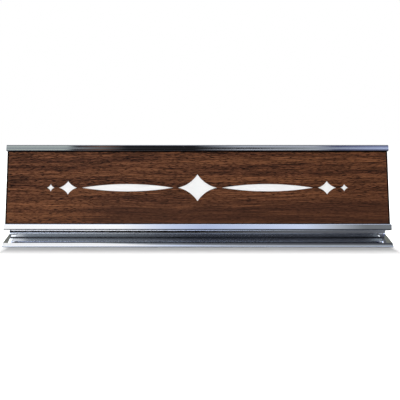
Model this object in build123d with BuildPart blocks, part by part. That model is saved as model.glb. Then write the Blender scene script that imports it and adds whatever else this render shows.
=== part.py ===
from build123d import *

import math
import os

os.makedirs("parts", exist_ok=True)

# Engraved plate, cut from two-ply sheet: a thin wood-grain face bonded to a white core
plate_length = 254.0
plate_height = 50.8
plate_thickness = 1.6
face_thickness = 0.3

# Engraved ornament: hollow-sided lozenges of three sizes, with swelled rules between them
engraving_bite = 0.1
ornament_margin = 27.0
ornament_gap = 3.0
lozenge_width = 26.0
lozenge_height = 18.0
lozenge_hollow = 1.6
rule_height = 5.0
small_lozenge_width = 12.0
small_lozenge_height = 9.0
small_lozenge_hollow = 0.7
tip_lozenge_width = 5.0
tip_lozenge_height = 5.0
tip_lozenge_hollow = 0.4

# Slot that takes the plate: room around the plate, and how far the lips cover its edges
slot_play = 0.1
head_play = 0.3
lip_overlap = 0.95

# Holder section: lips and back web of the leaning channel
lean_angle = 13.5
lip_below = 2.9
lip_above = 3.1
lip_reach = 2.2
lip_crown = 0.025
lip_round = 0.65
lip_edge_round = 0.3
web_thickness = 1.6
web_top_round = 0.8

# Holder section: shelf and neck that carry the channel, and the arched foot
shelf_thickness = 1.8
shelf_reach = 9.5
shelf_rise = 0.1
neck_thickness = 2.0
neck_height = 3.15
base_depth = 39.2
foot_peak = 6.4
foot_wall = 1.9
foot_crown = 0.1
toe_height = 0.9
toe_bevel_depth = 2.4
toe_bevel_rise = 1.8
toe_crown = 0.04
toe_land = 1.6
toe_round = 0.4
toe_edge_round = 0.3
foot_cove = 0.4
shelf_cove = 0.6
heel_cove = 0.7
shelf_corner_round = 0.9
arch_round = 8.0

# Cut ends of the extrusion, a little beyond the plate's ends, with the saw's burr taken off
end_margin = 0.35
end_break = 0.15

# Sizes that follow from the ones above
lean = math.radians(lean_angle)
holder_length = plate_length + 2 * end_margin
half_base = base_depth / 2
half_neck = neck_thickness / 2
lip_front = -slot_play - lip_reach
channel_back = plate_thickness + slot_play + web_thickness
channel_height = plate_height + lip_below + lip_above
shelf_underside = foot_peak + neck_height
shelf_top = shelf_underside + shelf_thickness
channel_heel = (-shelf_reach, shelf_underside + shelf_rise)
neck_root = foot_peak - foot_wall / 2
toe_tip = (-half_base, toe_height)
toe_brow = (toe_bevel_depth - half_base, toe_height + toe_bevel_rise)


def from_seat(back, up):
    """Place in the section of a point behind the plate's front face and above its lower edge."""
    behind_heel = back - channel_back
    above_heel = up + lip_below
    y = channel_heel[0] + behind_heel * math.cos(lean) + above_heel * math.sin(lean)
    z = channel_heel[1] - behind_heel * math.sin(lean) + above_heel * math.cos(lean)
    return y, z


def round_corners(sketch, places, radius):
    """Rounds the corners of a section that lie nearest to the given places."""
    for place in places:
        corner = sketch.vertices().sort_by_distance(Vertex(*place))[0]
        fillet(corner, radius)


# Desk holder: one extruded section
with BuildPart() as desk_holder:
    with BuildSketch(Plane.YZ.offset(-holder_length / 2)) as section:
        with BuildLine():
            Line((0, foot_peak - foot_wall), (toe_land - half_base, 0))
            Line((toe_land - half_base, 0), (-half_base, 0))
            Line((-half_base, 0), toe_tip)
            SagittaArc(toe_tip, toe_brow, toe_crown)
            SagittaArc(toe_brow, (0, foot_peak), foot_crown)
            mirror(about=Plane.YZ)
        make_face()
        with Locations((0, neck_root)):
            Rectangle(neck_thickness, shelf_top - neck_root, align=(Align.CENTER, Align.MIN))
        Polygon(
            channel_heel,
            (half_neck, shelf_underside),
            (half_neck, shelf_top),
            (channel_heel[0], channel_heel[1] + shelf_thickness),
            align=None,
        )
        with Locations(Location((*from_seat(0, 0), 0), (0, 0, -lean_angle))):
            with Locations((-slot_play, -lip_below)):
                Rectangle(channel_back + slot_play, channel_height, align=(Align.MIN, Align.MIN))
        lower_lip = (-lip_below, lip_overlap)
        upper_lip = (plate_height - lip_overlap, plate_height + lip_above)
        for lip_foot, lip_head in (lower_lip, upper_lip):
            low_corner = from_seat(lip_front, lip_foot)
            high_corner = from_seat(lip_front, lip_head)
            with BuildLine():
                SagittaArc(low_corner, high_corner, lip_crown)
                Polyline(high_corner, from_seat(0, lip_head), from_seat(0, lip_foot), low_corner)
            make_face()
        with Locations(Location((*from_seat(0, 0), 0), (0, 0, -lean_angle))):
            with Locations((-slot_play, -slot_play)):
                Rectangle(
                    plate_thickness + 2 * slot_play,
                    plate_height + slot_play + head_play,
                    align=(Align.MIN, Align.MIN),
                    mode=Mode.SUBTRACT,
                )
        outer_lip_corners = [from_seat(lip_front, up) for up in (-lip_below, plate_height + lip_above)]
        inner_lip_corners = [from_seat(lip_front, up) for up in (lip_overlap, plate_height - lip_overlap)]
        round_corners(section, outer_lip_corners, lip_round)
        round_corners(section, inner_lip_corners, lip_edge_round)
        round_corners(section, [toe_tip, (half_base, toe_height)], toe_round)
        round_corners(section, [(-half_base, 0), (half_base, 0)], toe_edge_round)
        round_corners(section, [(-half_neck, foot_peak), (half_neck, foot_peak)], foot_cove)
        round_corners(section, [(-half_neck, shelf_underside)], shelf_cove)
        round_corners(section, [from_seat(channel_back, shelf_thickness - lip_below)], heel_cove)
        round_corners(section, [(half_neck, shelf_top)], shelf_corner_round)
        round_corners(section, [(0, foot_peak - foot_wall)], arch_round)
        round_corners(section, [from_seat(channel_back, plate_height + lip_above)], web_top_round)
    extrude(amount=holder_length)
    chamfer(desk_holder.faces().sort_by(Axis.X)[0].edges(), end_break)
    chamfer(desk_holder.faces().sort_by(Axis.X)[-1].edges(), end_break)

# The plate's own frame, at the middle of its face: x along it, y up it, z out of it
plate_front = Plane(
    origin=(0, *from_seat(0, plate_height / 2)),
    x_dir=(1, 0, 0),
    z_dir=(0, -math.cos(lean), math.sin(lean)),
)

# Places along the plate, worked out from its ends inwards
tip_lozenge_centre = plate_length / 2 - ornament_margin - tip_lozenge_width / 2
small_lozenge_end = tip_lozenge_centre - tip_lozenge_width / 2 - ornament_gap
small_lozenge_centre = small_lozenge_end - small_lozenge_width / 2
rule_end = small_lozenge_centre - small_lozenge_width / 2 - ornament_gap
rule_start = lozenge_width / 2 + ornament_gap
lozenges = [(0, lozenge_width, lozenge_height, lozenge_hollow)]
for side in (-1, 1):
    lozenges += [
        (side * small_lozenge_centre, small_lozenge_width, small_lozenge_height, small_lozenge_hollow),
        (side * tip_lozenge_centre, tip_lozenge_width, tip_lozenge_height, tip_lozenge_hollow),
    ]

# Engraved ornament in the plate's frame
with BuildSketch() as ornament:
    for x, width, height, hollow in lozenges:
        tips = [(x + width / 2, 0), (x, height / 2), (x - width / 2, 0), (x, -height / 2)]
        with BuildLine():
            for start, end in zip(tips, tips[1:] + tips[:1]):
                SagittaArc(start, end, hollow)
        make_face()
    for side in (-1, 1):
        inner_tip = (side * rule_start, 0)
        outer_tip = (side * rule_end, 0)
        with BuildLine():
            SagittaArc(inner_tip, outer_tip, rule_height / 2)
            SagittaArc(outer_tip, inner_tip, rule_height / 2)
        make_face()

# White core ply, with the shallow marks that the engraving cutter leaves in it
with BuildPart() as plate_core:
    with BuildSketch(plate_front.offset(-plate_thickness)):
        Rectangle(plate_length, plate_height)
    extrude(amount=plate_thickness - face_thickness)
    with BuildSketch(plate_front.offset(-face_thickness - engraving_bite)):
        add(ornament.sketch)
    extrude(amount=engraving_bite, mode=Mode.SUBTRACT)

# Wood-grain face ply, cut right through by the engraving
with BuildPart() as plate_face:
    with BuildSketch(plate_front.offset(-face_thickness)):
        Rectangle(plate_length, plate_height)
        add(ornament.sketch, mode=Mode.SUBTRACT)
    extrude(amount=face_thickness)

for name, piece in (
    ("desk_holder", desk_holder),
    ("plate_core", plate_core),
    ("plate_face", plate_face),
):
    piece.part.label = name
    export_step(piece.part, f"parts/{name}.step")
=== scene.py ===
# %% [markdown]
# A desk name plate: a strip of two-ply engraving sheet that slides into an extruded aluminium holder.
# The CAD model already has every solid in its place, so this lesson is about surfaces: polished metal,
# printed wood grain, bare engraved plastic, and the light that shows them. The first cell loads the
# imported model, which stays where it is.

# %% Load the frame
import bpy
import bmesh
import math
from mathutils import Color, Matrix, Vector


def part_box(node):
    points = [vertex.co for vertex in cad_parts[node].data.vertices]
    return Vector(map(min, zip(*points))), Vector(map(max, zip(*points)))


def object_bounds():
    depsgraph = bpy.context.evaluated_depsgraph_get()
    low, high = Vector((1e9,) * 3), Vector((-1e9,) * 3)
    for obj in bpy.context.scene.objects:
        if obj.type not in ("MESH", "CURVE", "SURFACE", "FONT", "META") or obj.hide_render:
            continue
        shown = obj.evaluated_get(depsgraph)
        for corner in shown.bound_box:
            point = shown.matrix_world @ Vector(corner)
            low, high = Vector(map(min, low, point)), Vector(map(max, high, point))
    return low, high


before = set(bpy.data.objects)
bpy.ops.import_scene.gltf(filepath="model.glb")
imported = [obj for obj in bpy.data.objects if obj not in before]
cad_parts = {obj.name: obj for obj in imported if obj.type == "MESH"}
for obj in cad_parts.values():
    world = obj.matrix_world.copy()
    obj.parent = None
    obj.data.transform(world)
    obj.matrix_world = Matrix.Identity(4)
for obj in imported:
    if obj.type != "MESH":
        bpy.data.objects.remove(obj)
cad_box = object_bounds()
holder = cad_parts["desk_holder"]
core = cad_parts["plate_core"]
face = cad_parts["plate_face"]
MILLIMETRES = 1000.0
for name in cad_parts:
    low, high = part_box(name)
    print(name, [round(MILLIMETRES * size, 1) for size in high - low], "mm")

# %% [markdown]
# Every finish below is worked out from the place of a point on the object. Shader nodes can do that
# arithmetic, but a page of links is hard to read. A small class wraps one socket, and Python's own
# operators then add the Math nodes. Its `node` method adds any other node: settings first, then sockets.


# %% Arithmetic on sockets
class Field:
    """A value that changes over a surface, held as the output socket of a shader node."""

    def __init__(self, tree, socket):
        self.tree = tree
        self.socket = socket

    def node(self, kind, settings, sockets, output=0):
        """Adds a node of one kind, sets it up, feeds its sockets and gives one of its outputs."""
        made = self.tree.nodes.new(kind)
        for name, value in settings.items():
            if name == "stops":
                set_stops(made.color_ramp, value)
            else:
                setattr(made, name, value)
        for key, value in sockets.items():
            feed(self.tree, made.inputs[key], value)
        return Field(self.tree, made.outputs[output])

    def maths(self, operation, first, second):
        """Adds a Math node that works on two values."""
        return self.node("ShaderNodeMath", {"operation": operation}, {0: first, 1: second})

    def __add__(self, other):
        return self.maths("ADD", self, other)

    def __radd__(self, other):
        return self.maths("ADD", other, self)

    def __sub__(self, other):
        return self.maths("SUBTRACT", self, other)

    def __rsub__(self, other):
        return self.maths("SUBTRACT", other, self)

    def __mul__(self, other):
        return self.maths("MULTIPLY", self, other)

    def __rmul__(self, other):
        return self.maths("MULTIPLY", other, self)

    def __abs__(self):
        return self.maths("ABSOLUTE", self, 0.0)


def feed(tree, socket, value):
    """Links a field to a socket, or sets the socket to a plain value."""
    if isinstance(value, Field):
        tree.links.new(value.socket, socket)
    else:
        socket.default_value = value


def set_stops(ramp, stops):
    """Gives a colour ramp its stops, each a place from 0 to 1 and a colour."""
    while len(ramp.elements) < len(stops):
        ramp.elements.new(1.0)
    for element, (place, colour) in zip(ramp.elements, stops):
        element.position = place
        element.color = colour


# %% [markdown]
# Colours are easier to choose as they look on a screen, from 0 to 255, but shaders work in linear light.
# One function turns the first into the second. Another starts a material and hands back its shader and
# the place of the shaded point in millimetres, so that every pattern below has real sizes.

# %% Start a finish
SCREEN_WHITE = 255


def screen(red, green, blue):
    """A colour given as it looks on a screen, from 0 to 255, in the linear light of a shader."""
    levels = Color((red / SCREEN_WHITE, green / SCREEN_WHITE, blue / SCREEN_WHITE))
    return (*levels.from_srgb_to_scene_linear(), 1.0)


def grey(level):
    """A colour with the same linear level in all three channels."""
    return (level, level, level, 1.0)


def start_finish(name, turn=0.0):
    """A new material, its shader, and the place on the object in millimetres, turned about X."""
    material = bpy.data.materials.new(name)
    material.use_nodes = True
    tree = material.node_tree
    shader = tree.nodes["Principled BSDF"]
    coordinates = Field(tree, tree.nodes.new("ShaderNodeTexCoord").outputs["Object"])
    place = coordinates.node(
        "ShaderNodeMapping",
        {"vector_type": "POINT"},
        {"Vector": coordinates, "Rotation": (turn, 0.0, 0.0), "Scale": (MILLIMETRES,) * 3},
    )
    return material, shader, place


def dress(node, material):
    """Makes a material the only one on a CAD node."""
    node.data.materials.clear()
    node.data.materials.append(material)
    print(material.name, "has", len(material.node_tree.nodes), "shader nodes")


print("a screen grey of 128 is", round(screen(128, 128, 128)[0], 2), "of full light")

# %% [markdown]
# Few patterns are needed. Noise stretched along the object makes die lines and wood grain alike, because
# both come from something drawn out in one direction. A fade turns any measure, in millimetres or not,
# into a mask from 0 to 1, and a blend lays one colour over another through such a mask.


# %% Patterns and masks
def coordinate(place, axis):
    """One coordinate of a place: X along the plate, Y away from the camera, Z up."""
    return place.node("ShaderNodeSeparateXYZ", {}, {0: place}, output=axis)


def stretched_noise(place, along, across, detail=3.0, roughness=0.5, shift=0.0, output=0):
    """Noise with features of one length along X and another across it, in millimetres."""
    cells = place.node(
        "ShaderNodeMapping",
        {"vector_type": "POINT"},
        {
            "Vector": place,
            "Location": (shift, shift, shift),
            "Scale": (1.0 / along, 1.0 / across, 1.0 / across),
        },
    )
    return cells.node(
        "ShaderNodeTexNoise",
        {"noise_dimensions": "3D"},
        {"Vector": cells, "Scale": 1.0, "Detail": detail, "Roughness": roughness},
        output=output,
    )


def fade(value, start, end):
    """Is 0 at one value and 1 at another, even between them and level beyond them."""
    limits = {"Value": value, "From Min": start, "From Max": end, "To Min": 0.0, "To Max": 1.0}
    return value.node("ShaderNodeMapRange", {"clamp": True}, limits)


def blend_colours(factor, first, second):
    """One colour where the factor is 0 and another where it is 1."""
    return factor.node("ShaderNodeMix", {"data_type": "RGBA"}, {0: factor, 6: first, 7: second}, output=2)


# %% [markdown]
# The holder is aluminium, pushed through a die and then polished bright. Polishing leaves a mirror, but
# not a perfect one: the die draws faint lines along the length, and handling leaves a slight haze. Lines
# could be modelled, but they are finer than a hair, so stretched noise in the roughness shows them.

# %% Polished aluminium
MIRROR_ROUGHNESS = 0.02
LINE_ROUGHNESS = 0.03
HAZE_ROUGHNESS = 0.02
CLEAR_METAL = screen(238, 240, 243)
HAZED_METAL = screen(246, 247, 249)
metal, metal_shader, metal_place = start_finish("polished_aluminium")
die_lines = stretched_noise(metal_place, along=400.0, across=0.35, detail=2.0)
haze = stretched_noise(metal_place, along=30.0, across=9.0, detail=4.0, shift=40.0)
metal_tint = blend_colours(haze, CLEAR_METAL, HAZED_METAL)
polish = MIRROR_ROUGHNESS + LINE_ROUGHNESS * die_lines + HAZE_ROUGHNESS * haze
dullest = MIRROR_ROUGHNESS + LINE_ROUGHNESS + HAZE_ROUGHNESS
print("polished metal has a roughness of", MIRROR_ROUGHNESS, "to", round(dullest, 2))

# %% [markdown]
# Painted shade darkens the metal's colour in the inner corner under the shelf, along the lower edges of
# both lips and on the crest of the upper lip, while the roughness there stays polished. A saw cut leaves
# the ends satin. The holder is one piece of metal, so it keeps one material, and the place of a point
# decides: its height and depth in the section for the painted shade, and its distance from the middle for
# the ends, in mm.

# %% Painted shade on the metal and sawn ends
# Patches of painted shade: in each, the metal's colour is darkened.
PAINTED_SHADE_PATCHES = {
    "inner corner under the shelf": {"heights": (8.7, 9.7), "depths": (-2.1, -0.5)},
    "lower edge of the lower lip": {"heights": (10.85, 11.55), "depths": (-16.0, -13.5)},
    "lower edge of the upper lip": {"heights": (62.1, 62.55), "depths": (-6.0, -1.0)},
    "crest of the upper lip": {"heights": (65.55, 66.2), "depths": (-4.0, -0.5)},
}
# Colour of the painted shade in the patches.
PAINTED_SHADE_METAL = screen(100, 101, 104)
SAWN_METAL = screen(168, 170, 174)
SAW_SKIN = 0.05
SAWN_ROUGHNESS = 0.3
SAW_MARKS = 0.15


def within(value, low, high):
    """Is 1 where a value lies between two limits, and 0 elsewhere."""
    sockets = {0: value, 1: (low + high) / 2, 2: (high - low) / 2}
    return value.node("ShaderNodeMath", {"operation": "COMPARE"}, sockets)


depth = coordinate(metal_place, "Y")
height = coordinate(metal_place, "Z")
painted_shade = 0.0
for patch in PAINTED_SHADE_PATCHES.values():
    painted_shade = painted_shade + within(height, *patch["heights"]) * within(depth, *patch["depths"])
from_middle = abs(coordinate(metal_place, "X"))
sawn = from_middle.maths("GREATER_THAN", from_middle, MILLIMETRES * cad_box[1].x - SAW_SKIN)
# Painted shade: the metal is darker in the patches.
metal_tint = blend_colours(painted_shade, metal_tint, PAINTED_SHADE_METAL)
metal_tint = blend_colours(sawn, metal_tint, SAWN_METAL)
metal_roughness = polish + sawn * (SAWN_ROUGHNESS + SAW_MARKS * die_lines)
feed(metal.node_tree, metal_shader.inputs["Base Color"], metal_tint)
feed(metal.node_tree, metal_shader.inputs["Roughness"], metal_roughness)
metal_shader.inputs["Metallic"].default_value = 1.0
print("dull patches:", ", ".join(PAINTED_SHADE_PATCHES))
dress(holder, metal)

# %% [markdown]
# The plate's face is a printed walnut pattern under a satin film. The plate leans back, so a pattern that
# follows the world's axes would run askew over it. The lean can be read from the face's own box: a thin
# sheet of known height and thickness fits that box at one angle only. The same cell finds how far up the
# plate's own slope the face starts.

# %% Lean of the plate
FACE_HEIGHT = 0.0508
FACE_THICKNESS = 0.0003
face_low, face_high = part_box("plate_face")
lean = math.atan2(face_high.y - face_low.y, face_high.z - face_low.z)
lean -= math.atan2(FACE_THICKNESS, FACE_HEIGHT)
front_edge = Vector((0.0, face_low.y, face_low.z + FACE_THICKNESS * math.sin(lean)))
up_the_plate = Vector((0.0, math.sin(lean), math.cos(lean)))
foot_of_face = MILLIMETRES * front_edge.dot(up_the_plate)
print("plate leans back", round(math.degrees(lean), 1), "degrees")

# %% [markdown]
# Real walnut has three scales of pattern: broad bands of lighter and darker wood, fine fibre, and short
# dark pores. All run along the board, so each is noise stretched along the plate. A slow drift bends them
# together, as a tree's rings sway, and pores sit closer in the darker bands.

# %% Walnut grain
GRAIN_SWAY = (6.0, 0.0, 6.0)
PORES_IN_BANDS = 0.06
walnut, walnut_shader, walnut_place = start_finish("walnut_face", turn=lean)
drift = stretched_noise(walnut_place, along=70.0, across=22.0, detail=1.0, shift=5.0, output="Color")
grain = drift.node(
    "ShaderNodeVectorMath",
    {"operation": "MULTIPLY_ADD"},
    {0: drift, 1: GRAIN_SWAY, 2: walnut_place},
)
bands = stretched_noise(grain, along=120.0, across=3.6, detail=1.0)
strands = stretched_noise(grain, along=26.0, across=0.22, detail=2.0, shift=10.0)
flecks = stretched_noise(grain, along=3.2, across=0.20, detail=1.0, shift=20.0)
figure = fade(bands, start=0.36, end=0.64)
fibre = fade(strands, start=0.42, end=0.58)
pores = fade(flecks + PORES_IN_BANDS * figure, start=0.54, end=0.63)
print("walnut grain sways by up to", max(GRAIN_SWAY), "mm")

# %% [markdown]
# The lower part of this board is paler at the left and darker from there to the right. Both masks come from
# the place on the face, how far along it and how far up it, and the drift makes the border wander.

# %% Paler and darker lower wood
LOWER_WOOD_TOP = 28.0
LOWER_WOOD_FULL = 15.0
BORDER_WANDER = 8.0
PALE_END = -82.5
DARK_START = -52.5
along_face = coordinate(walnut_place, "X")
up_face = coordinate(walnut_place, "Z") - foot_of_face
border = up_face + BORDER_WANDER * coordinate(drift, "Y")
# Masks for the paler lower left and the darker lower right of the board.
lower_wood = fade(border, start=LOWER_WOOD_TOP, end=LOWER_WOOD_FULL)
right_side = fade(along_face, start=PALE_END, end=DARK_START)
dark_lower_right = lower_wood * right_side
pale_lower_left = lower_wood * (1.0 - right_side)
print("darker wood starts", DARK_START, "mm from the middle, below", LOWER_WOOD_TOP, "mm")

# %% [markdown]
# The film is painted dark along its rim: painted shade where the metal lips overhang it, and a dark edge at
# its saw-cut ends. A separate strip would stand proud, so the rim is a mask too: the least of the distances
# to the two lips and to the ends, each scaled or moved so that one width of dark rim serves all of them.

# %% Painted rim shade
LIP_COVER = 0.95
RIM_WIDTH = 0.8
RIM_CORE = 0.6
UPPER_RIM = 0.45
END_RIM = 1.1
from_ends = (RIM_WIDTH / END_RIM) * (MILLIMETRES * face_high.x - abs(along_face))
from_lower_lip = up_face - LIP_COVER
from_upper_lip = MILLIMETRES * FACE_HEIGHT - LIP_COVER + RIM_WIDTH - UPPER_RIM - up_face
from_lips = from_lower_lip.maths("MINIMUM", from_lower_lip, from_upper_lip)
from_rim = from_ends.maths("MINIMUM", from_ends, from_lips)
# Painted shade along the lips and a dark edge at the ends.
rim = fade(from_rim, start=RIM_WIDTH, end=RIM_CORE)
print("painted rim shade", RIM_WIDTH, "mm wide below,", UPPER_RIM, "above and", END_RIM, "at the ends")

# %% [markdown]
# The colours are laid over each other as a stain would be: bands first, then the paler lower left, fibre,
# the darker lower right and pores, and the painted rim shade last. One ramp of browns would be shorter, but
# then a pore in pale wood could not be darker than the fibre beside it.

# %% Walnut colours
PALE_BAND = screen(142, 90, 59)
DARK_BAND = screen(116, 71, 48)
PALE_LOWER_WOOD = screen(152, 97, 63)
FIBRE = screen(40, 23, 15)
DARK_LOWER_WOOD = screen(66, 40, 29)
PORE = screen(18, 10, 7)
# Colour of the painted shade along the rim.
RIM_SHADE = screen(8, 3, 2)
PALE_SHARE = 0.25
FIBRE_SHARE = 0.96
FIBRE_LOST_IN_PALE = 0.2
DARK_SHARE = 0.6
PORES_LOST_IN_DARK = 0.4
wood = blend_colours(figure, PALE_BAND, DARK_BAND)
wood = blend_colours(PALE_SHARE * pale_lower_left, wood, PALE_LOWER_WOOD)
wood = blend_colours((FIBRE_SHARE - FIBRE_LOST_IN_PALE * pale_lower_left) * fibre, wood, FIBRE)
wood = blend_colours(DARK_SHARE * dark_lower_right, wood, DARK_LOWER_WOOD)
wood = blend_colours((1.0 - PORES_LOST_IN_DARK * dark_lower_right) * pores, wood, PORE)
# The painted rim shade is laid over everything else.
wood = blend_colours(rim, wood, RIM_SHADE)
feed(walnut.node_tree, walnut_shader.inputs["Base Color"], wood)
print("linear red of the wood: pale band", round(PALE_BAND[0], 3), "and pore", round(PORE[0], 4))

# %% [markdown]
# The film over the print is satin, with hardly any mirror in it. Pores break the film, so they are rougher
# and a little sunk. That relief is far too fine for geometry, and a bump shows it.

# %% Satin film
FILM_ROUGHNESS = 0.34
PORE_ROUGHNESS = 0.14
FILM_MIRROR = 0.05
RELIEF = 0.00003


def bump(height, strength):
    """A normal that shows a height given from 0 to 1, over the depth of the relief in metres."""
    return height.node("ShaderNodeBump", {}, {"Height": height, "Distance": RELIEF, "Strength": strength})


feed(walnut.node_tree, walnut_shader.inputs["Roughness"], FILM_ROUGHNESS + PORE_ROUGHNESS * pores)
feed(walnut.node_tree, walnut_shader.inputs["Normal"], bump(1.0 - pores, strength=0.4))
walnut_shader.inputs["Specular IOR Level"].default_value = FILM_MIRROR
dress(face, walnut)

# %% [markdown]
# Under the face lies a white core, bare where the cutter went through. Fresh cut plastic is matt, and the
# cutter leaves close parallel marks in it. The cuts themselves are in the solid, so the marks are all that
# is left to add: noise in the colour, the roughness and a bump.

# %% White core
CORE_SHADE = screen(244, 244, 243)
CORE_WHITE = screen(252, 252, 252)
CORE_ROUGHNESS = 0.5
MARK_ROUGHNESS = 0.2
white, white_shader, white_place = start_finish("white_core", turn=lean)
cutter_marks = stretched_noise(white_place, along=6.0, across=0.25, detail=2.0)
core_tint = blend_colours(cutter_marks, CORE_SHADE, CORE_WHITE)
feed(white.node_tree, white_shader.inputs["Base Color"], core_tint)
feed(white.node_tree, white_shader.inputs["Roughness"], CORE_ROUGHNESS + MARK_ROUGHNESS * cutter_marks)
feed(white.node_tree, white_shader.inputs["Normal"], bump(cutter_marks, strength=0.5))
dress(core, white)

# %% [markdown]
# The object stands on a white sweep, far larger than the view, so that no edge of it shows. It is stage,
# not part of the object. One flat sheet is enough, because the background is as white as the floor.

# %% White floor
FLOOR_REACH = 3.0
floor_mesh = bpy.data.meshes.new("floor")
floor_bm = bmesh.new()
bmesh.ops.create_grid(floor_bm, x_segments=1, y_segments=1, size=FLOOR_REACH)
floor_bm.to_mesh(floor_mesh)
floor_bm.free()
floor = bpy.data.objects.new("floor", floor_mesh)
bpy.context.scene.collection.objects.link(floor)
print("floor reaches", FLOOR_REACH, "m each way")

# %% [markdown]
# The floor's own white is below full white, so that it can show the object's shadow. A glow lifts it to
# the white of the background: hardly at all close to the object, and fully a few centimetres in front or
# just past the ends. The dim strip where the glow is held back is partly painted shade: the lamps' shadow
# falls there, but the floor is pale grey there even where no shadow falls, and the strip is moved a
# millimetre to the right. Brighter lamps would whiten the floor too, but they would bleach the object. Only
# the camera, mirrors and glass see the glow, so it throws no light.

# %% Glow and shadow of the floor
FLOOR_WHITE = 0.66
FLOOR_ROUGHNESS = 0.9
FLOOR_GLOW = 0.03
SHADOW_CORE = 0.007
SHADOW_FADE = 0.040
SHADOW_DRIFT = 0.001
SHADOW_INSET = 0.004
SHADOW_END = 0.006


def seen_directly(tree):
    """Is 1 for rays from the camera or off a mirror or through glass, and 0 for the light that scatters."""
    light_path = tree.nodes.new("ShaderNodeLightPath")
    seen = Field(tree, light_path.outputs["Is Camera Ray"])
    for kind in ("Is Glossy Ray", "Is Transmission Ray"):
        seen = seen.maths("MAXIMUM", seen, Field(tree, light_path.outputs[kind]))
    return seen


paper = bpy.data.materials.new("white_sweep")
paper.use_nodes = True
paper_tree = paper.node_tree
paper_shader = paper_tree.nodes["Principled BSDF"]
spot = Field(paper_tree, paper_tree.nodes.new("ShaderNodeTexCoord").outputs["Object"])
shadow_end = cad_box[1].x - SHADOW_INSET
shadow_front = cad_box[1].y + SHADOW_CORE
# Painted shade: the glow is held back in a strip round the object, moved a millimetre to the right.
beside = abs(coordinate(spot, "X") - SHADOW_DRIFT)
before = abs(coordinate(spot, "Y"))
past_ends = fade(beside, start=shadow_end, end=shadow_end + SHADOW_END)
past_front = fade(before, start=shadow_front, end=shadow_front + SHADOW_FADE)
clear = spot.maths("MAXIMUM", past_ends, past_front)
floor_glow = FLOOR_GLOW + (1.0 - FLOOR_GLOW) * clear
paper_shader.inputs["Base Color"].default_value = grey(FLOOR_WHITE)
paper_shader.inputs["Roughness"].default_value = FLOOR_ROUGHNESS
paper_shader.inputs["Specular IOR Level"].default_value = 0.0
paper_shader.inputs["Emission Strength"].default_value = 1.0
feed(paper_tree, paper_shader.inputs["Emission Color"], floor_glow * seen_directly(paper_tree))
floor.data.materials.append(paper)
print("shadow fades over", MILLIMETRES * SHADOW_FADE, "mm in front")

# %% [markdown]
# The light is a white tent: the same soft white from all round, which shows colours as they are. It
# lights the object at less than full strength, and a glow that scatters no light lifts the background to
# white, as on the floor.

# %% White tent
TENT_LIGHT = 0.45
world = bpy.data.worlds.new("tent")
bpy.context.scene.world = world
world.use_nodes = True
world_tree = world.node_tree
background = world_tree.nodes["Background"]
background.inputs["Color"].default_value = grey(1.0)
tent_strength = TENT_LIGHT + (1.0 - TENT_LIGHT) * seen_directly(world_tree)
feed(world_tree, background.inputs["Strength"], tent_strength)
print("tent lights the object at", TENT_LIGHT)

# %% [markdown]
# A tent alone makes polished metal look like white plastic, so a photographer hangs dark and tinted cards
# round the object. Each card here glows in bands of paint along its first side. A picture could hold the
# bands, but a colour ramp keeps them in the script, and the way along that side drives the ramp.


# %% Paint of a card
def card_paint(name, middle, along, stops, glow):
    """A glowing colour that changes along a card's first side."""
    paint = bpy.data.materials.new(name)
    paint.use_nodes = True
    tree = paint.node_tree
    shader = tree.nodes["Principled BSDF"]
    shader.inputs["Base Color"].default_value = grey(0.0)
    shader.inputs["Specular IOR Level"].default_value = 0.0
    shader.inputs["Emission Strength"].default_value = glow
    spot = Field(tree, tree.nodes.new("ShaderNodeTexCoord").outputs["Object"])
    side = along / along.length_squared
    dot_product = {"operation": "DOT_PRODUCT"}
    reach = spot.node("ShaderNodeVectorMath", dot_product, {0: spot, 1: side}, output="Value")
    share = reach + (0.5 - middle.dot(side))
    placed = [(0.5 + distance / along.length, colour) for distance, colour in stops]
    colour = share.node("ShaderNodeValToRGB", {"stops": placed}, {"Fac": share})
    feed(tree, shader.inputs["Emission Color"], colour)
    return paint


# %% [markdown]
# The card itself is a flat sheet with four corners, given by its middle and its two sides. The camera and
# the soft light don't see it: only reflections show it, the metal's above all.


# %% A card
def hang_card(name, middle, along, up, stops, glow=1.0):
    """A card round its middle, coloured by distance along its first side, seen in reflections only."""
    middle, along, up = Vector(middle), Vector(along), Vector(up)
    card_mesh = bpy.data.meshes.new(name)
    card_bm = bmesh.new()
    corners = [(-0.5, -0.5), (0.5, -0.5), (0.5, 0.5), (-0.5, 0.5)]
    card_bm.faces.new([card_bm.verts.new(middle + a * along + b * up) for a, b in corners])
    card_bm.to_mesh(card_mesh)
    card_bm.free()
    card = bpy.data.objects.new(name, card_mesh)
    bpy.context.scene.collection.objects.link(card)
    card.visible_camera = False
    card.visible_diffuse = False
    card.visible_shadow = False
    card.data.materials.append(card_paint(name, middle, along, stops, glow))
    print(name, round(along.length, 4), "by", round(up.length, 4), "m")


# %% [markdown]
# The cards need only a few paints. White and pale blue stand for the window side of a room, the greys for
# its walls, the near blacks for its dark corners, and a brown and two violets for things that stand in it.
# A card lists the paints that follow each other along its first side, which runs from left to right on
# most cards, with the distance in metres from the card's middle to each paint.

# %% Paints for the cards
WHITE = screen(252, 252, 252)
MIST = screen(202, 212, 234)
SKY = screen(178, 190, 220)
LICHEN = screen(168, 178, 173)
SILVER = screen(164, 169, 178)
PEWTER = screen(138, 144, 149)
STEEL = screen(113, 117, 121)
MOSS = screen(118, 120, 114)
SLATE = screen(93, 95, 100)
LEAD = screen(66, 68, 74)
CHARCOAL = screen(43, 44, 47)
SOOT = screen(22, 20, 20)
RUST = screen(104, 80, 70)
INDIGO = screen(78, 82, 110)
IRIS = screen(120, 126, 158)
print("paints run from", round(SOOT[0], 3), "to", round(WHITE[0], 3), "in linear red")

# %% [markdown]
# Four cards high in front are what the upper lip shows, a bright one below them is what the lower lip
# shows, and a low dark one is what the hollow between shelf and foot shows. All stand about a metre away,
# where a hand's width of card is a sliver of the lip.

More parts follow.
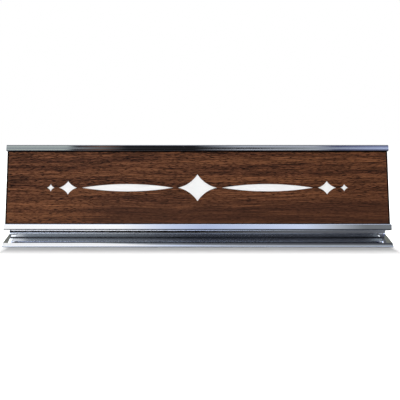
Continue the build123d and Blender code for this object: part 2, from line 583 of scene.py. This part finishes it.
# %% Paints in front
brow_stops = [(-0.31, SLATE), (-0.25, SOOT), (0.06, SOOT), (0.14, PEWTER), (0.46, INDIGO)]
high_stops = [
    (-0.30, LICHEN),
    (-0.28, CHARCOAL),
    (-0.215, RUST),
    (-0.16, SOOT),
    (0.01, SOOT),
    (0.13, SILVER),
    (0.30, SILVER),
    (0.35, INDIGO),
    (0.46, IRIS),
]
slit_stops = [(-0.30, PEWTER), (-0.15, CHARCOAL), (0.15, SOOT), (0.29, PEWTER), (0.46, SKY)]
sill_stops = [(-0.31, SLATE), (-0.20, CHARCOAL), (0.06, CHARCOAL), (0.20, SLATE), (0.46, LEAD)]
bright_stops = [(-0.17, WHITE), (-0.06, MIST), (0.03, SKY), (0.26, MIST), (0.34, SILVER), (0.40, STEEL)]
low_stops = [
    (-0.47, PEWTER),
    (-0.44, WHITE),
    (-0.40, WHITE),
    (-0.375, PEWTER),
    (-0.17, STEEL),
    (-0.08, SLATE),
    (0.02, LEAD),
    (0.41, LEAD),
    (0.43, PEWTER),
]
print("the high card passes through", len(high_stops), "paints and the low card", len(low_stops))

# %% [markdown]
# An upright card is a wide sheet between two heights. The slit card covers part of the high card and hangs
# a little nearer, because two sheets in one plane would show as speckles.

# %% Cards in front
ROOM = 2.4
WIDE = (ROOM, 0.0, 0.0)
FRONT = -1.0
SLIT_GAP = 0.02


def stand_card(name, low, high, stops, glow=1.0, distance=FRONT):
    """An upright card in front of the object, between two heights."""
    middle = (0.0, distance, (low + high) / 2)
    hang_card(name, middle, WIDE, (0.0, 0.0, high - low), stops, glow)


stand_card("brow_card", low=0.58, high=0.86, stops=brow_stops)
stand_card("high_card", low=0.50, high=0.58, stops=high_stops)
stand_card("slit_card", low=0.508, high=0.538, stops=slit_stops, distance=FRONT + SLIT_GAP)
stand_card("sill_card", low=0.42, high=0.50, stops=sill_stops)
stand_card("bright_card", low=0.28, high=0.42, stops=bright_stops, glow=1.08)
stand_card("low_card", low=0.0, high=0.28, stops=low_stops)

# %% [markdown]
# The foot, the neck and the underside of the shelf also show what lies on the desk just in front. Mats do
# there what cards do above: bands of paint, some of them lit, each between two distances from the object's
# middle. The lit ones become the thin bright lines along the hollow.

# %% Mats on the floor in front
MAT_HEIGHT = 0.0001
toe_stops = [(-0.12, PEWTER), (-0.06, STEEL), (0.0, LEAD), (0.12, CHARCOAL)]
middle_stops = [(-0.12, MIST), (-0.06, SILVER), (-0.03, SLATE), (0.05, SLATE), (0.10, CHARCOAL)]
outer_stops = [(-0.12, CHARCOAL), (-0.06, SOOT), (0.0, SOOT), (0.07, SLATE)]
line_stops = [(-0.12, WHITE), (-0.06, WHITE), (0.0, SKY), (0.07, PEWTER), (0.12, LEAD)]
far_stops = [(-0.13, MIST), (-0.07, PEWTER), (0.0, SLATE), (0.13, SLATE)]


def lay_mat(name, near, far, stops, glow=1.0):
    """A card that lies on the floor between two distances in front of the object's middle."""
    middle = (0.0, -(near + far) / 2, MAT_HEIGHT)
    hang_card(name, middle, WIDE, (0.0, far - near, 0.0), stops, glow)


lay_mat("toe_mat", near=0.0200, far=0.0370, stops=toe_stops)
lay_mat("middle_mat", near=0.0370, far=0.0418, stops=middle_stops, glow=2.2)
lay_mat("outer_mat", near=0.0418, far=0.0550, stops=outer_stops)
lay_mat("line_mat", near=0.0550, far=0.0680, stops=line_stops, glow=1.8)
lay_mat("step_mat", near=0.0680, far=0.0770, stops=far_stops, glow=1.4)
lay_mat("far_mat", near=0.0770, far=1.0, stops=far_stops)

# %% [markdown]
# The toe's bevel slopes towards the camera and mirrors what is overhead, so a ceiling of four cards lies
# above the object. The toe is narrow, and so are the two cards that give it its bright and grey bands.

# %% Cards above
CEILING = 0.82
ceiling_stops = [(-0.3, MIST), (0.3, MIST)]
top_stops = [(-0.12, WHITE), (-0.03, MIST), (0.09, SILVER), (0.33, PEWTER)]
middle_top_stops = [(-0.13, WHITE), (-0.07, SILVER), (0.02, STEEL), (0.2, SLATE)]
rear_top_stops = [(-0.19, WHITE), (-0.12, PEWTER), (-0.08, STEEL), (0.0, SLATE), (0.33, LEAD)]


def lift_card(name, front, back, stops, glow=1.0):
    """A card that lies level above the object, between two depths."""
    middle = (0.0, (front + back) / 2, CEILING)
    hang_card(name, middle, WIDE, (0.0, back - front, 0.0), stops, glow)


lift_card("ceiling_card", front=FRONT, back=0.010, stops=ceiling_stops, glow=2.2)
lift_card("top_card", front=0.010, back=0.052, stops=top_stops)
lift_card("middle_top_card", front=0.052, back=0.104, stops=middle_top_stops)
lift_card("rear_top_card", front=0.104, back=0.396, stops=rear_top_stops)

# %% [markdown]
# Behind and beside the object stand plain grey walls, pale at the foot. They give the back of the holder
# and its cut ends something to show, so that they look like metal from there too.

# %% Walls behind and beside
WALL = 1.2
WALL_HEIGHT = 1.4
TALL = (0.0, 0.0, WALL_HEIGHT)
DEEP = (0.0, ROOM, 0.0)
wall_stops = [(-0.7, MIST), (-0.3, MOSS), (0.7, MOSS)]
hang_card("back_card", (0.0, WALL, WALL_HEIGHT / 2), TALL, WIDE, wall_stops)
hang_card("left_card", (-WALL, 0.0, WALL_HEIGHT / 2), TALL, DEEP, wall_stops)
hang_card("right_card", (WALL, 0.0, WALL_HEIGHT / 2), TALL, DEEP, wall_stops)

# %% [markdown]
# Mats lie before the walls too, for the rear of the foot and the cut ends. The back mat and the side mats
# overlap, so they lie at two heights, a tenth of a millimetre apart.

# %% Mats behind and beside
BACK_MAT_MIDDLE = (0.0, 0.61, 0.0004)
BACK_MAT_REACH = (0.0, 1.178, 0.0)
LEFT_MAT_MIDDLE = (-0.71, 0.0, 0.0003)
RIGHT_MAT_MIDDLE = (0.68, 0.0, 0.0003)
SIDE_MAT_LENGTH = 1.1
SIDE_MAT_DEPTH = (0.0, 0.16, 0.0)
back_mat_stops = [(-0.59, SILVER), (-0.56, STEEL), (-0.53, SLATE), (-0.46, SILVER), (-0.2, MIST)]
side_mat_stops = [(-0.55, SLATE), (-0.48, SILVER), (-0.2, MIST)]
hang_card("back_mat", BACK_MAT_MIDDLE, BACK_MAT_REACH, WIDE, back_mat_stops)
hang_card("left_mat", LEFT_MAT_MIDDLE, (-SIDE_MAT_LENGTH, 0.0, 0.0), SIDE_MAT_DEPTH, side_mat_stops)
hang_card("right_mat", RIGHT_MAT_MIDDLE, (SIDE_MAT_LENGTH, 0.0, 0.0), SIDE_MAT_DEPTH, side_mat_stops)

# %% [markdown]
# Two soft lamps shape the object. One at the front left lights the plate, and one above and behind it
# throws the short soft shadow in front of the foot. Reflections don't show them, because the cards already
# give the metal all that it mirrors.


# %% Soft lamps
def hang_lamp(name, place, size, power):
    """A square soft lamp that faces the object."""
    lamp_data = bpy.data.lights.new(name, "AREA")
    lamp_data.shape = "SQUARE"
    lamp_data.size = size
    lamp_data.energy = power
    lamp = bpy.data.objects.new(name, lamp_data)
    lamp.location = place
    lamp.rotation_euler = (-lamp.location).to_track_quat("-Z", "Y").to_euler()
    lamp.visible_glossy = False
    bpy.context.scene.collection.objects.link(lamp)
    print(name, size, "m wide,", power, "W")


hang_lamp("front_lamp", place=(-0.25, -0.95, 0.55), size=0.6, power=6.0)
hang_lamp("back_lamp", place=(0.0, 0.45, 0.90), size=0.35, power=6.0)

# %% [markdown]
# The camera stands close in front of the plate, a little above it and a little left of its middle. The
# frame is shifted sideways instead of turning the camera, so that the long edges stay level. Light may
# bounce several times between shelf and foot before it leaves the hollow, and each bounce is a mirror's, so
# the scene allows more mirror bounces than usual. With the usual four, the lowest lines of the hollow would
# come out a third darker or more.

# %% Camera
CAMERA_PLACE = (-0.0063, -0.4225, 0.0753)
CAMERA_DIP = math.radians(6.25)
LENS = 56.63
SENSOR_WIDTH = 36.0
FRAME_SHIFT = 0.03
MIRROR_BOUNCES = 8
camera_data = bpy.data.cameras.new("camera")
camera_data.lens = LENS
camera_data.sensor_width = SENSOR_WIDTH
camera_data.shift_x = FRAME_SHIFT
camera = bpy.data.objects.new("camera", camera_data)
camera.location = CAMERA_PLACE
camera.rotation_euler = (math.pi / 2 - CAMERA_DIP, 0.0, 0.0)
bpy.context.scene.collection.objects.link(camera)
bpy.context.scene.camera = camera
bpy.context.scene.view_settings.view_transform = "Standard"
bpy.context.scene.cycles.glossy_bounces = MIRROR_BOUNCES
print("camera", round(camera.location.length, 3), "m from the middle of the foot")
